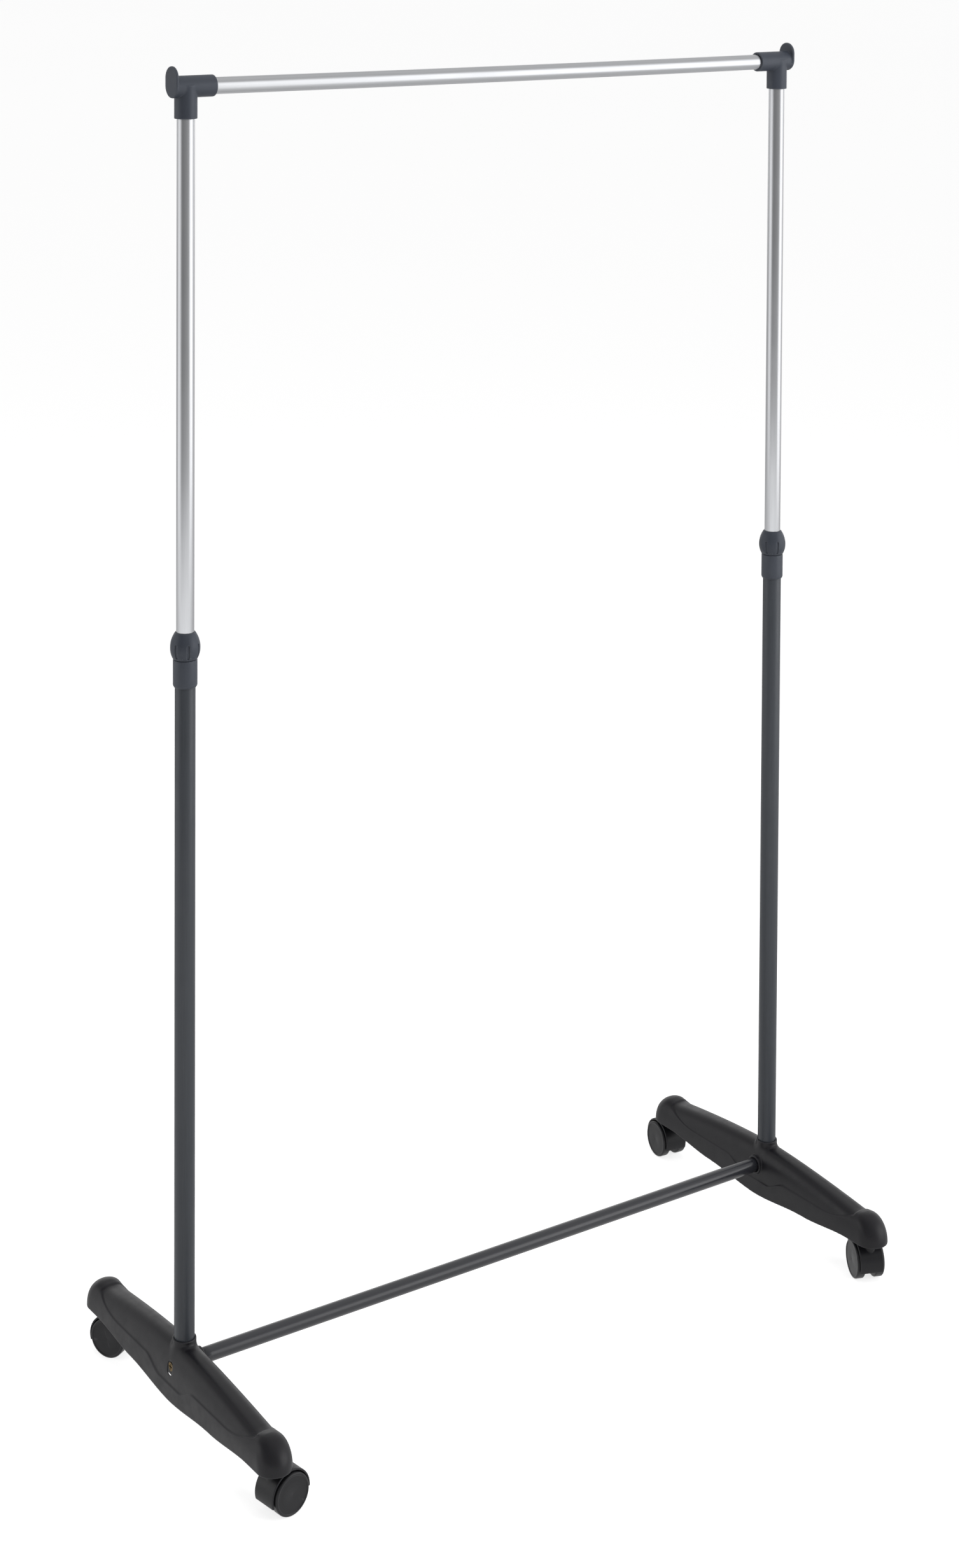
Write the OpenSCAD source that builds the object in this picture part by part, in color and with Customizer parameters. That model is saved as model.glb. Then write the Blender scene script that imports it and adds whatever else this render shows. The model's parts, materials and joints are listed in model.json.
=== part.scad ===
// Height-adjustable garment rail on castors.
// Origin: centre of the footprint, on the floor. X runs along the rail, Y across the base legs, Z up.

/* [Overall] */
// Distance between the axes of the two uprights
upright_span = 938; // [800:1:1200]
// Height of the hanging rail's axis above the floor
rail_z = 1654; // [1500:1:1800]
// Height of the crossbar's axis above the floor
crossbar_z = 81; // [79:1:83]

/* [Tubes] */
// Outer diameter of the lower upright tubes
lower_tube_d = 25.4; // [25:0.1:26]
// Wall of the lower upright tubes
lower_tube_wall = 1.2; // [1:0.1:1.4]
// Outer diameter of the sliding upper tubes
upper_tube_d = 22.2; // [21.8:0.1:22.4]
// Outer diameter of the hanging rail
rail_d = 21; // [19:0.1:22]
// Outer diameter of the crossbar
crossbar_d = 19; // [18:0.1:19.6]
// Wall of the upper tubes, hanging rail and crossbar
thin_wall = 1; // [0.8:0.1:1.2]
// Height of the top end of the lower tubes
lower_tube_top = 951; // [940:1:953]
// Height of the bottom end of the upper tubes
upper_tube_bottom = 730; // [725:1:795]

/* [Base legs] */
// Half the length of a base leg
leg_half_length = 240.5; // [236:0.5:244]
// Half the width of a base leg at its bottom edge
leg_half_width = 22.5; // [22:0.5:26]
// Height of the bottom edge over the castors
leg_edge_z = 56.5; // [56:0.5:58]
// Height of the bottom edge where it turns down towards the hub
bend_edge_z = 48; // [46:0.5:50]
// Height of the bottom edge below the hub
hub_edge_z = 39.5; // [37:0.5:41]
// Height of the leg's back at the hub
hub_back_z = 107.5; // [104:0.5:109]
// Height of the leg's back where an end dome begins
neck_back_z = 87; // [85:1:89]
// Height of the top of an end dome
dome_top_z = 92; // [90:1:94]
// Wall of the moulded legs
leg_wall = 3; // [2.5:0.5:4]
// Height of the top rim of the hub collar
collar_rim_z = 113.4; // [111:0.2:117]

/* [Castors] */
// Distance of a castor's swivel axis from the crossbar, along the leg
castor_y = 215; // [212:1:216]
// Radius of a castor wheel
wheel_r = 25; // [24:0.5:25]
// Distance between the outer faces of a pair of wheels
wheel_pair_w = 39; // [37:1:42]
// Thickness of one wheel
wheel_w = 12; // [10:0.5:12]
// Distance of the axle behind the swivel axis
castor_trail = 15.5; // [14:0.5:17]
// Direction in which the front left castor trails, in degrees from +X
trail_front_left = 9; // [0:1:360]
// Direction in which the back left castor trails
trail_back_left = 299; // [0:1:360]
// Direction in which the front right castor trails
trail_front_right = 68; // [0:1:360]
// Direction in which the back right castor trails
trail_back_right = 83; // [0:1:360]

/* [Height clamps] */
// Height of the bottom edge of a clamp sleeve
sleeve_bottom_z = 921.4; // [900:0.1:925]
// Height of the joint between a clamp sleeve and its twist collar
clamp_joint_z = 955.6; // [953.6:0.1:957]
// Height of the top rim of a twist collar
collar_top_z = 989; // [988:0.5:991]
// Outer diameter of a clamp sleeve
sleeve_d = 30; // [28.6:0.1:31]
// Largest diameter of a twist collar
collar_d = 37; // [34:0.5:39]
// Number of finger grooves round a twist collar
groove_count = 7; // [4:1:8]

/* [Tee connectors] */
// Outer diameter of the leg of a tee
tee_leg_d = 28.2; // [27:0.2:30]
// Outer diameter of the arm of a tee
tee_arm_d = 27; // [26:0.2:28]
// Length of the tee's leg below the rail's axis
tee_leg_len = 38.7; // [36:0.1:42]
// Length of the tee's arm, from the upright's axis inwards
tee_arm_len = 37.5; // [32:0.5:42]
// Distance of the end paddle's outer face from the upright's axis
paddle_x = 20.5; // [18:0.1:22]
// Width of the paddle
paddle_w = 29.6; // [28:0.2:32]
// Height of the paddle's top above the rail's axis
paddle_top = 25.3; // [20:0.1:28]
// Depth of the paddle's bottom below the rail's axis
paddle_bottom = 13; // [12:0.1:14]
// Thickness of the paddle
paddle_t = 3.6; // [2:0.2:4]

/* [Fasteners] */
// Shank diameter of the hub screws
screw_d = 6; // [5:0.5:6]
// Head diameter of the hub screws
screw_head_d = 10.5; // [9:0.5:11]
// Diameter of a castor's steel stem
stem_d = 8; // [7:0.5:8]
// Diameter of a castor's axle
axle_d = 6; // [5:0.5:6]

/* [Hidden] */
$fn = 64;
CHARCOAL = [0.20, 0.20, 0.21];
BLACK = [0.13, 0.13, 0.14];
SLATE = [0.29, 0.31, 0.36];
SATIN_DARK = [0.27, 0.29, 0.31];
SILVER = [0.75, 0.76, 0.78];
STEEL = [0.62, 0.63, 0.65];
BRASS = [0.75, 0.60, 0.30];

LEFT = -1;
RIGHT = 1;
FRONT = -1;
BACK = 1;

// Radial gap of a part that turns or slides inside another
RUNNING_GAP = 0.05;
// Radial gap of a part that is only pushed into another
PUSH_GAP = 0.02;
// Overshoot of a cut past the face it opens
CUT = 1;

lower_r = lower_tube_d / 2;
lower_bore_r = lower_r - lower_tube_wall;
upper_r = upper_tube_d / 2;
rail_r = rail_d / 2;
crossbar_r = crossbar_d / 2;

// Hub of a base leg
socket_wall = 2.1;
socket_r = lower_r + socket_wall;
socket_floor_z = 43;
boss_wall = 3;
boss_reach = leg_half_width + 1.2;
screw_seat_x = socket_r + 0.3;
screw_pad_r = 7;
screw_clear_r = screw_d / 2 + 0.2;
crossbar_gap = socket_r + 0.5;
insert_len = 18;
screw_len = screw_seat_x + crossbar_gap + insert_len - 4;
screw_head_h = 4;
access_w = 12;
access_h = 17;
access_z = crossbar_z - 1.5;
access_straight = access_h - access_w;
access_reach = leg_half_width + 2;

// Sections of a base leg: where the bottom edge stops dipping, and where the end dome stands
dip_y = 105;
dome_proud = 0.5;
dome_y = leg_half_length - leg_half_width - dome_proud;
neck_y = dome_y - 18;
dome_skirt = 5;
notch_r = 14;
slice_t = 0.4;
rib_t = 2.5;
stem_boss_r = 8;
arch_points = 14;
arch_squareness = 0.78;

// Castors
hood_gap = 1;
hood_wall = 2.6;
hood_inner_r = wheel_r + hood_gap;
hood_r = hood_inner_r + hood_wall;
hood_w = wheel_pair_w - 6;
hood_lead_angle = 18;
web_t = 7;
axle_boss_r = 6;
swivel_boss_r = 7;
swivel_top_z = leg_edge_z - 0.6;
swivel_boss_h = 20;
wheel_inner = wheel_pair_w / 2 - wheel_w;
axle_half = wheel_pair_w / 2 - 2.5;
lip_w = 3;
lip_h = 0.7;
wheel_bevel = 1.4;
stem_r = stem_d / 2;
stem_top_z = 80;
stem_flange_r = 6.5;
stem_flange_h = 1.6;
ring_r = stem_r + 0.9;
ring_h = 3;
ring_z = 70;

// Height clamps
sleeve_r = sleeve_d / 2;
sleeve_neck_r = 13.4;
sleeve_neck_h = 13.4;
sleeve_foot = 3.6;
sleeve_foot_r = lower_r + 0.7;
throat_r = upper_r + 0.35;
bush_bottom_z = clamp_joint_z + sleeve_neck_h + 0.3;
bush_h = 13.6;
bush_r = 13.2;
bush_top_r = 12.1;
bush_slit = 1.6;
cone_gap = 0.15;
collar_rim_r = 12.4;
collar_foot_r = 14.9;
groove_r = 1.6;
groove_depth = 1;
groove_low = 3.2;
groove_high = 19.4;
groove_phase = 48.7;

// Tee connectors and sliding tubes
upper_tube_top = rail_z - rail_r - 1.2;
rail_inset = 8;
plug_h = 8;
plug_spigot = 20;

castors = [
    [LEFT, FRONT, trail_front_left],
    [LEFT, BACK, trail_back_left],
    [RIGHT, FRONT, trail_front_right],
    [RIGHT, BACK, trail_back_right]
];

// ---- helpers ----

// Puts a part that is drawn round the left upright, with +X inwards, on the given side.
module on_side(side) {
    if (side == LEFT)
        translate([-upright_span / 2, 0, 0]) children();
    else
        translate([upright_span / 2, 0, 0]) mirror([1, 0, 0]) children();
}

// A cylinder along +X that starts at x.
module x_rod(x, r, length) {
    translate([x, 0, 0]) rotate([0, 90, 0]) cylinder(r = r, h = length);
}

// A tube along Z between two heights.
module upright_tube(r, wall, bottom, top) {
    translate([0, 0, bottom])
        difference() {
            cylinder(r = r, h = top - bottom);
            translate([0, 0, -CUT]) cylinder(r = r - wall, h = top - bottom + 2 * CUT);
        }
}

// ---- base legs ----

// Half arch from the side wall to the back, as a list of points, with s the side (1 or -1).
function arch(w, edge, back, s) =
    let (shoulder = edge + 0.3 * (back - edge))
    [for (i = [0:arch_points])
        let (a = 90 * (s > 0 ? i : arch_points - i) / arch_points)
        [s * w * pow(cos(a), arch_squareness), shoulder + (back - shoulder) * pow(sin(a), arch_squareness)]];

// One thin cross-section of a leg at y, with an arched back and an open bottom edge.
module leg_slice(y, w, edge, back) {
    translate([0, y + slice_t / 2, 0]) rotate([90, 0, 0])
        linear_extrude(height = slice_t)
            polygon(concat([[w, edge]], arch(w, edge, back, 1), arch(w, edge, back, -1), [[-w, edge]]));
}

// Height of the leg's back at y, falling from the hub to the neck.
function back_z(y) = hub_back_z - (hub_back_z - neck_back_z) * pow(abs(y) / neck_y, 1.25);

// Height of the leg's bottom edge at y, falling gently inwards and dipping smoothly under the hub.
function edge_z(y) =
    let (t = min(abs(y) / dip_y, 1))
    abs(y) > dip_y
        ? bend_edge_z + (leg_edge_z - bend_edge_z) * (abs(y) - dip_y) / (dome_y - dip_y)
        : hub_edge_z + (bend_edge_z - hub_edge_z) * t * t * (3 - 2 * t);

// A thin disc of radius r at height z in the dome at the given end of the leg.
module dome_disc(end, r, z) {
    translate([0, end * dome_y, z]) cylinder(r = r, h = slice_t, $fn = 32);
}

// Stack of discs that outlines the bulbous dome over a castor
module dome_discs(end) {
    w = leg_half_width + dome_proud;
    shoulder = leg_edge_z + dome_skirt;
    crown = dome_top_z - slice_t - shoulder;
    dome_disc(end, w, leg_edge_z);
    for (a = [0:15:75]) dome_disc(end, w * cos(a), shoulder + crown * sqrt(1 - pow(cos(a), 2.4)));
    dome_disc(end, w * cos(84), dome_top_z - slice_t);
}

// Slices of the leg's arched body at the given stations along Y
module leg_slices(stations) {
    for (y = stations) leg_slice(y, leg_half_width, edge_z(y), back_z(y));
}

// Outline of a whole leg, with a dip across its back before each dome
module leg_body() {
    difference() {
        union() {
            hull() leg_slices([-dip_y, -dip_y / 2, -dip_y / 4, 0, dip_y / 4, dip_y / 2, dip_y]);
            for (end = [FRONT, BACK]) hull() {
                leg_slices([end * dip_y, end * neck_y]);
                dome_discs(end);
            }
        }
        for (end = [FRONT, BACK])
            translate([-leg_half_width - CUT, end * (neck_y - 1), neck_back_z + notch_r])
                rotate([0, 90, 0]) cylinder(r = notch_r, h = 2 * (leg_half_width + CUT));
    }
}

// Hollow of a leg, open underneath
module leg_hollow() {
    w = leg_half_width - leg_wall;
    hull() {
        for (y = [-neck_y, -dip_y, 0, dip_y, neck_y])
            leg_slice(y, w, edge_z(y) - CUT, back_z(y) - leg_wall);
        for (end = [FRONT, BACK]) {
            dome_disc(end, w, leg_edge_z - CUT);
            dome_disc(end, w, leg_edge_z + dome_skirt);
            dome_disc(end, w * 0.6, neck_back_z - leg_wall - 2);
        }
    }
}

module base_leg() {
    difference() {
        union() {
            difference() {
                leg_body();
                difference() {
                    leg_hollow();
                    translate([-rib_t / 2, -castor_y, leg_edge_z + 6])
                        cube([rib_t, 2 * castor_y, hub_back_z]);
                }
            }
            translate([0, 0, hub_edge_z]) cylinder(r = socket_r, h = collar_rim_z - hub_edge_z);
            translate([0, 0, crossbar_z]) {
                x_rod(0, crossbar_r + boss_wall, boss_reach);
                x_rod(-screw_seat_x, screw_pad_r, screw_seat_x);
            }
            for (end = [FRONT, BACK])
                translate([0, end * castor_y, leg_edge_z])
                    cylinder(r = stem_boss_r, h = stem_top_z - leg_edge_z + 3);
        }
        translate([0, 0, socket_floor_z]) cylinder(r = lower_r + PUSH_GAP, h = collar_rim_z);
        translate([0, 0, crossbar_z]) {
            x_rod(crossbar_gap, crossbar_r + PUSH_GAP, boss_reach);
            x_rod(-screw_seat_x - CUT, screw_clear_r, screw_seat_x + crossbar_gap + 2 * CUT);
        }
        for (dz = [-1, 1] * access_straight / 2)
            translate([0, 0, access_z + dz])
                x_rod(-access_reach, access_w / 2, access_reach - screw_seat_x);
        translate([-access_reach, -access_w / 2, access_z - access_straight / 2])
            cube([access_reach - screw_seat_x, access_w, access_straight]);
        for (end = [FRONT, BACK]) translate([0, end * castor_y, leg_edge_z - CUT]) {
            cylinder(r = stem_r + PUSH_GAP, h = stem_top_z + 0.5 - leg_edge_z + CUT);
            cylinder(r = stem_flange_r + 0.3, h = CUT + stem_flange_h + 0.2);
            translate([0, 0, ring_z - leg_edge_z + CUT]) cylinder(r = ring_r + PUSH_GAP, h = ring_h);
        }
    }
}

module base_left() { color(CHARCOAL) on_side(LEFT) base_leg(); }
module base_right() { color(CHARCOAL) on_side(RIGHT) base_leg(); }

// ---- crossbar and its fixings ----

module crossbar() {
    length = upright_span - 2 * crossbar_gap;
    color(SATIN_DARK) translate([0, 0, crossbar_z]) difference() {
        x_rod(-length / 2, crossbar_r, length);
        x_rod(-length / 2 - CUT, crossbar_r - thin_wall, length + 2 * CUT);
    }
}

// Threaded plug in the end of the crossbar
module crossbar_insert() {
    color(STEEL) translate([0, 0, crossbar_z]) difference() {
        x_rod(crossbar_gap, crossbar_r - thin_wall - PUSH_GAP, insert_len);
        x_rod(crossbar_gap - CUT, screw_d / 2, insert_len + 2 * CUT);
    }
}

module crossbar_insert_left() { on_side(LEFT) crossbar_insert(); }
module crossbar_insert_right() { on_side(RIGHT) crossbar_insert(); }

// Pan-head screw through the hub and the lower tube into the crossbar's insert
module hub_screw() {
    slot_w = 1.4;
    color(BRASS) translate([0, 0, crossbar_z]) difference() {
        union() {
            x_rod(-screw_seat_x - screw_head_h, screw_head_d / 2, screw_head_h);
            x_rod(-screw_seat_x, screw_d / 2, screw_len);
        }
        for (turn = [0, 90]) rotate([turn, 0, 0])
            translate([-screw_seat_x - screw_head_h - CUT, -screw_head_d / 3, -slot_w / 2])
                cube([screw_head_h / 2 + CUT, screw_head_d / 1.5, slot_w]);
    }
}

module hub_screw_left() { on_side(LEFT) hub_screw(); }
module hub_screw_right() { on_side(RIGHT) hub_screw(); }

// ---- uprights ----

module lower_tube() {
    color(SATIN_DARK) difference() {
        upright_tube(lower_r, lower_tube_wall, socket_floor_z, lower_tube_top);
        translate([0, 0, crossbar_z]) x_rod(-lower_r - CUT, screw_clear_r, lower_tube_d + 2 * CUT);
    }
}

module lower_tube_left() { on_side(LEFT) lower_tube(); }
module lower_tube_right() { on_side(RIGHT) lower_tube(); }

module upper_tube() {
    color(SILVER) upright_tube(upper_r, thin_wall, upper_tube_bottom, upper_tube_top);
}

module upper_tube_left() { on_side(LEFT) upper_tube(); }
module upper_tube_right() { on_side(RIGHT) upper_tube(); }

// Plastic plug that centres the foot of the upper tube in the lower tube
module guide_plug() {
    color(BLACK) translate([0, 0, upper_tube_bottom]) rotate_extrude() polygon([
        [6, -plug_h], [lower_bore_r - RUNNING_GAP - 0.8, -plug_h],
        [lower_bore_r - RUNNING_GAP, -plug_h + 0.8], [lower_bore_r - RUNNING_GAP, 0],
        [upper_r - thin_wall - PUSH_GAP, 0], [upper_r - thin_wall - PUSH_GAP, plug_spigot],
        [6, plug_spigot]
    ]);
}

module guide_plug_left() { on_side(LEFT) guide_plug(); }
module guide_plug_right() { on_side(RIGHT) guide_plug(); }

// ---- height clamps ----

// Sleeve on the top of the lower tube, with the neck that the twist collar turns on
module clamp_sleeve() {
    color(SLATE) rotate_extrude() polygon([
        [lower_r + PUSH_GAP, sleeve_bottom_z],
        [sleeve_foot_r, sleeve_bottom_z],
        [sleeve_r - 0.5, sleeve_bottom_z + sleeve_foot * 0.7],
        [sleeve_r, sleeve_bottom_z + sleeve_foot],
        [sleeve_r, clamp_joint_z - 0.5],
        [sleeve_r - 0.5, clamp_joint_z],
        [sleeve_neck_r, clamp_joint_z],
        [sleeve_neck_r, clamp_joint_z + sleeve_neck_h],
        [throat_r, clamp_joint_z + sleeve_neck_h],
        [throat_r, lower_tube_top + PUSH_GAP],
        [lower_r + PUSH_GAP, lower_tube_top + PUSH_GAP]
    ]);
}

module clamp_sleeve_left() { on_side(LEFT) clamp_sleeve(); }
module clamp_sleeve_right() { on_side(RIGHT) clamp_sleeve(); }

// Split cone that the collar squeezes round the upper tube
module grip_bush() {
    color(BLACK) translate([0, 0, bush_bottom_z]) difference() {
        rotate_extrude() polygon([
            [upper_r + RUNNING_GAP, 0], [bush_r, 0], [bush_top_r, bush_h], [upper_r + RUNNING_GAP, bush_h]
        ]);
        translate([0, -bush_slit / 2, -CUT]) cube([bush_r + CUT, bush_slit, bush_h + 2 * CUT]);
    }
}

module grip_bush_left() { on_side(LEFT) grip_bush(); }
module grip_bush_right() { on_side(RIGHT) grip_bush(); }

// Outer radius of the twist collar at height t, from 0 at its foot to 1 at its rim.
function barrel_r(t) =
    let (belly = collar_d / 2, low = 0.42)
    t < low
        ? belly - (belly - collar_foot_r) * pow((low - t) / low, 2.2)
        : belly - (belly - collar_rim_r) * pow((t - low) / (1 - low), 2.1);

// Barrel-shaped collar with finger grooves, turned to lock or free the upper tube
module twist_collar() {
    foot_z = clamp_joint_z + 0.2;
    h = collar_top_z - foot_z;
    steps = 16;
    cone_z = bush_bottom_z - foot_z - 0.2;
    cone_top = cone_z + bush_h + 0.4;
    color(SLATE) translate([0, 0, foot_z]) difference() {
        rotate_extrude() polygon(concat(
            [for (i = [0:steps]) [barrel_r(i / steps), h * i / steps]],
            [
                [throat_r - 0.1, h],
                [throat_r - 0.1, cone_top],
                [bush_top_r + cone_gap, cone_top],
                [bush_r + cone_gap, cone_z],
                [sleeve_neck_r + RUNNING_GAP, cone_z],
                [sleeve_neck_r + RUNNING_GAP, 0]
            ]
        ));
        for (i = [1:groove_count])
            rotate([0, 0, groove_phase + i * 360 / groove_count])
                translate([collar_d / 2 + groove_r - groove_depth, 0, groove_low])
                    cylinder(r = groove_r, h = groove_high - groove_low);
    }
}

module twist_collar_left() { translate([-upright_span / 2, 0, 0]) twist_collar(); }
module twist_collar_right() { translate([upright_span / 2, 0, 0]) twist_collar(); }

// ---- hanging rail and tees ----

module tee() {
    arm_start = -paddle_x + paddle_t;
    low_z = paddle_w / 2 - paddle_bottom;
    high_z = paddle_top - paddle_w / 2;
    color(SLATE) translate([0, 0, rail_z]) difference() {
        union() {
            translate([0, 0, -tee_leg_len]) cylinder(d = tee_leg_d, h = tee_leg_len);
            x_rod(arm_start - CUT, tee_arm_d / 2, tee_arm_len - arm_start + CUT);
            for (z = [low_z, high_z])
                translate([0, 0, z]) x_rod(-paddle_x, paddle_w / 2, paddle_t);
            translate([-paddle_x, -paddle_w / 2, low_z]) cube([paddle_t, paddle_w, high_z - low_z]);
        }
        x_rod(-rail_inset - 0.5, rail_r + PUSH_GAP, tee_arm_len + rail_inset + CUT);
        translate([0, 0, -tee_leg_len - CUT])
            cylinder(r = upper_r + PUSH_GAP, h = tee_leg_len + CUT - rail_r - 0.8);
    }
}

module tee_left() { on_side(LEFT) tee(); }
module tee_right() { on_side(RIGHT) tee(); }

module top_rail() {
    length = upright_span + 2 * rail_inset;
    color(SILVER) translate([0, 0, rail_z]) difference() {
        x_rod(-length / 2, rail_r, length);
        x_rod(-length / 2 - CUT, rail_r - thin_wall, length + 2 * CUT);
    }
}

// ---- castors ----

// Puts a castor part, drawn with its swivel axis at the origin and trailing along +X.
module on_castor(index) {
    place = castors[index];
    translate([place[0] * upright_span / 2, place[1] * castor_y, 0]) rotate([0, 0, place[2]]) children();
}

// Turns a solid of revolution so that its axis is the axle.
module on_axle() {
    translate([castor_trail, 0, wheel_r]) rotate([90, 0, 0]) children();
}

// Hood over the pair of wheels, with the web between them and the boss that swivels on the stem
module castor_housing(index) {
    color(CHARCOAL) on_castor(index) difference() {
        union() {
            on_axle() rotate([0, 0, -2]) rotate_extrude(angle = 182 + hood_lead_angle)
                translate([hood_inner_r, -hood_w / 2]) square([hood_wall, hood_w]);
            on_axle() rotate([0, 0, -2]) rotate_extrude(angle = 182 + hood_lead_angle)
                translate([0, -web_t / 2]) square([hood_inner_r + CUT, web_t]);
            on_axle() translate([0, 0, -web_t / 2]) cylinder(r = axle_boss_r, h = web_t);
            translate([0, 0, swivel_top_z - swivel_boss_h]) cylinder(r = swivel_boss_r, h = swivel_boss_h);
        }
        translate([0, 0, swivel_top_z - swivel_boss_h + 2])
            cylinder(r = stem_r + RUNNING_GAP, h = swivel_boss_h);
        on_axle() translate([0, 0, -web_t]) cylinder(r = axle_d / 2 + PUSH_GAP, h = 2 * web_t);
    }
}

module castor_housing_front_left() { castor_housing(0); }
module castor_housing_back_left() { castor_housing(1); }
module castor_housing_front_right() { castor_housing(2); }
module castor_housing_back_right() { castor_housing(3); }

// Steel stem, pushed into the leg, that the housing swivels on
module castor_stem(index) {
    place = castors[index];
    color(STEEL) translate([place[0] * upright_span / 2, place[1] * castor_y, 0]) union() {
        translate([0, 0, swivel_top_z - swivel_boss_h + 2.4])
            cylinder(r = stem_r, h = stem_top_z - swivel_top_z + swivel_boss_h - 2.4);
        translate([0, 0, leg_edge_z]) cylinder(r = stem_flange_r, h = stem_flange_h);
    }
}

module stem_front_left() { castor_stem(0); }
module stem_back_left() { castor_stem(1); }
module stem_front_right() { castor_stem(2); }
module stem_back_right() { castor_stem(3); }

// Spring rings that hold the stems in the legs
module stem_rings() {
    split = 1.6;
    color(STEEL) for (place = castors)
        translate([place[0] * upright_span / 2, place[1] * castor_y, ring_z + 0.4]) difference() {
            cylinder(r = ring_r, h = ring_h - 0.8);
            translate([0, 0, -CUT]) cylinder(r = stem_r, h = ring_h + 2 * CUT);
            translate([0, -split / 2, -CUT]) cube([ring_r + CUT, split, ring_h + 2 * CUT]);
        }
}

module axle(index) {
    color(STEEL) on_castor(index) on_axle()
        translate([0, 0, -axle_half]) cylinder(d = axle_d, h = 2 * axle_half);
}

module axle_front_left() { axle(0); }
module axle_back_left() { axle(1); }
module axle_front_right() { axle(2); }
module axle_back_right() { axle(3); }

// One wheel: a closed disc with a raised lip round its outer face, bored blind for the axle
module wheel(index, side) {
    outer = wheel_pair_w / 2;
    bore = axle_d / 2 + RUNNING_GAP;
    color(BLACK) on_castor(index) on_axle() mirror([0, 0, side > 0 ? 0 : 1]) rotate_extrude() polygon([
        [bore, wheel_inner],
        [wheel_r - 1, wheel_inner],
        [wheel_r, wheel_inner + 1],
        [wheel_r, outer - wheel_bevel],
        [wheel_r - wheel_bevel, outer],
        [wheel_r - lip_w, outer],
        [wheel_r - lip_w - lip_h, outer - lip_h],
        [0, outer - lip_h],
        [0, axle_half + 0.4],
        [bore, axle_half + 0.4]
    ]);
}

module wheel_front_left_a() { wheel(0, 1); }
module wheel_front_left_b() { wheel(0, -1); }
module wheel_back_left_a() { wheel(1, 1); }
module wheel_back_left_b() { wheel(1, -1); }
module wheel_front_right_a() { wheel(2, 1); }
module wheel_front_right_b() { wheel(2, -1); }
module wheel_back_right_a() { wheel(3, 1); }
module wheel_back_right_b() { wheel(3, -1); }

// ---- every node ----

base_left();
base_right();
crossbar();
crossbar_insert_left();
crossbar_insert_right();
hub_screw_left();
hub_screw_right();
lower_tube_left();
lower_tube_right();
clamp_sleeve_left();
clamp_sleeve_right();
grip_bush_left();
grip_bush_right();
twist_collar_left();
twist_collar_right();
upper_tube_left();
upper_tube_right();
guide_plug_left();
guide_plug_right();
tee_left();
tee_right();
top_rail();
stem_rings();
stem_front_left();
stem_back_left();
stem_front_right();
stem_back_right();
castor_housing_front_left();
castor_housing_back_left();
castor_housing_front_right();
castor_housing_back_right();
axle_front_left();
axle_back_left();
axle_front_right();
axle_back_right();
wheel_front_left_a();
wheel_front_left_b();
wheel_back_left_a();
wheel_back_left_b();
wheel_front_right_a();
wheel_front_right_b();
wheel_back_right_a();
wheel_back_right_b();
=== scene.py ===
"""Looks of a height-adjustable garment rail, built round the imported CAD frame.

Lengths in the modelling code are millimetres. MM turns them into scene metres.
"""
import json
import math

import bpy
import numpy as np
from mathutils import Matrix, Vector

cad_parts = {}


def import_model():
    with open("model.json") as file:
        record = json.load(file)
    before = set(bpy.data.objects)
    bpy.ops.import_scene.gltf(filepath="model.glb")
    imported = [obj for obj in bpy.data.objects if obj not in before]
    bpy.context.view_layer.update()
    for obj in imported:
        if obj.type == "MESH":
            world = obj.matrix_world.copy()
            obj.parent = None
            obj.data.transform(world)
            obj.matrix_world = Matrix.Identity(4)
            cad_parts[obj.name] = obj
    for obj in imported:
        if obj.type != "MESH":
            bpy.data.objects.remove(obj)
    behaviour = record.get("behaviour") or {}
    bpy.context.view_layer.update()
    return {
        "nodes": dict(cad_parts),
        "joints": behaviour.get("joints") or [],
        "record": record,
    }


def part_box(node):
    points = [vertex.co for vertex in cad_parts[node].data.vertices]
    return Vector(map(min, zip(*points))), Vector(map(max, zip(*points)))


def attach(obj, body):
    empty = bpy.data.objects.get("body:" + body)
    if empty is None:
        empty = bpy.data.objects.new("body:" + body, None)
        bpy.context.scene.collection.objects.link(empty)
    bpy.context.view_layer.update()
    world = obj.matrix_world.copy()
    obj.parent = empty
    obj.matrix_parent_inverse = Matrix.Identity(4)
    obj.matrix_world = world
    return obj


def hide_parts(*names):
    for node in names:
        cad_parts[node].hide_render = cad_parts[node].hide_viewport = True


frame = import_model()

MM = 0.001
SIDES = ("left", "right")
CORNERS = ("front_left", "back_left", "front_right", "back_right")


# ---- sizes read from the CAD frame ----

def node_box(node):
    """Lowest and highest corner of a CAD node, in millimetres."""
    lo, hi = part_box(node)
    return np.array(lo) / MM, np.array(hi) / MM


def node_centre(node):
    lo, hi = node_box(node)
    return (lo + hi) / 2


def node_radius(node, axis):
    """Half the node's width across the given axis index."""
    lo, hi = node_box(node)
    return (hi - lo)[axis] / 2


JOINTS = {joint["name"]: joint for joint in frame["joints"]}
UPRIGHT_X = {side: node_centre("lower_tube_" + side)[0] for side in SIDES}
RAIL_Z = node_centre("top_rail")[2]
RAIL_R = node_radius("top_rail", 1)
CROSSBAR_Z = node_centre("crossbar")[2]
CROSSBAR_R = node_radius("crossbar", 1)
LOWER_R = node_radius("lower_tube_left", 0)
UPPER_R = node_radius("upper_tube_left", 0)
LEG_LO, LEG_HI = node_box("base_left")
SLEEVE_LO, SLEEVE_HI = node_box("clamp_sleeve_left")
COLLAR_LO, COLLAR_HI = node_box("twist_collar_left")
TEE_LO, TEE_HI = node_box("tee_left")
LOWER_LO, LOWER_HI = node_box("lower_tube_left")
STEM_TOP = node_box("stem_front_left")[1][2]
SWIVEL_TOP = node_box("castor_housing_front_left")[1][2]
SWIVEL_Y = abs(JOINTS["swivel_front_left"]["pos_m"][1]) / MM
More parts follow.
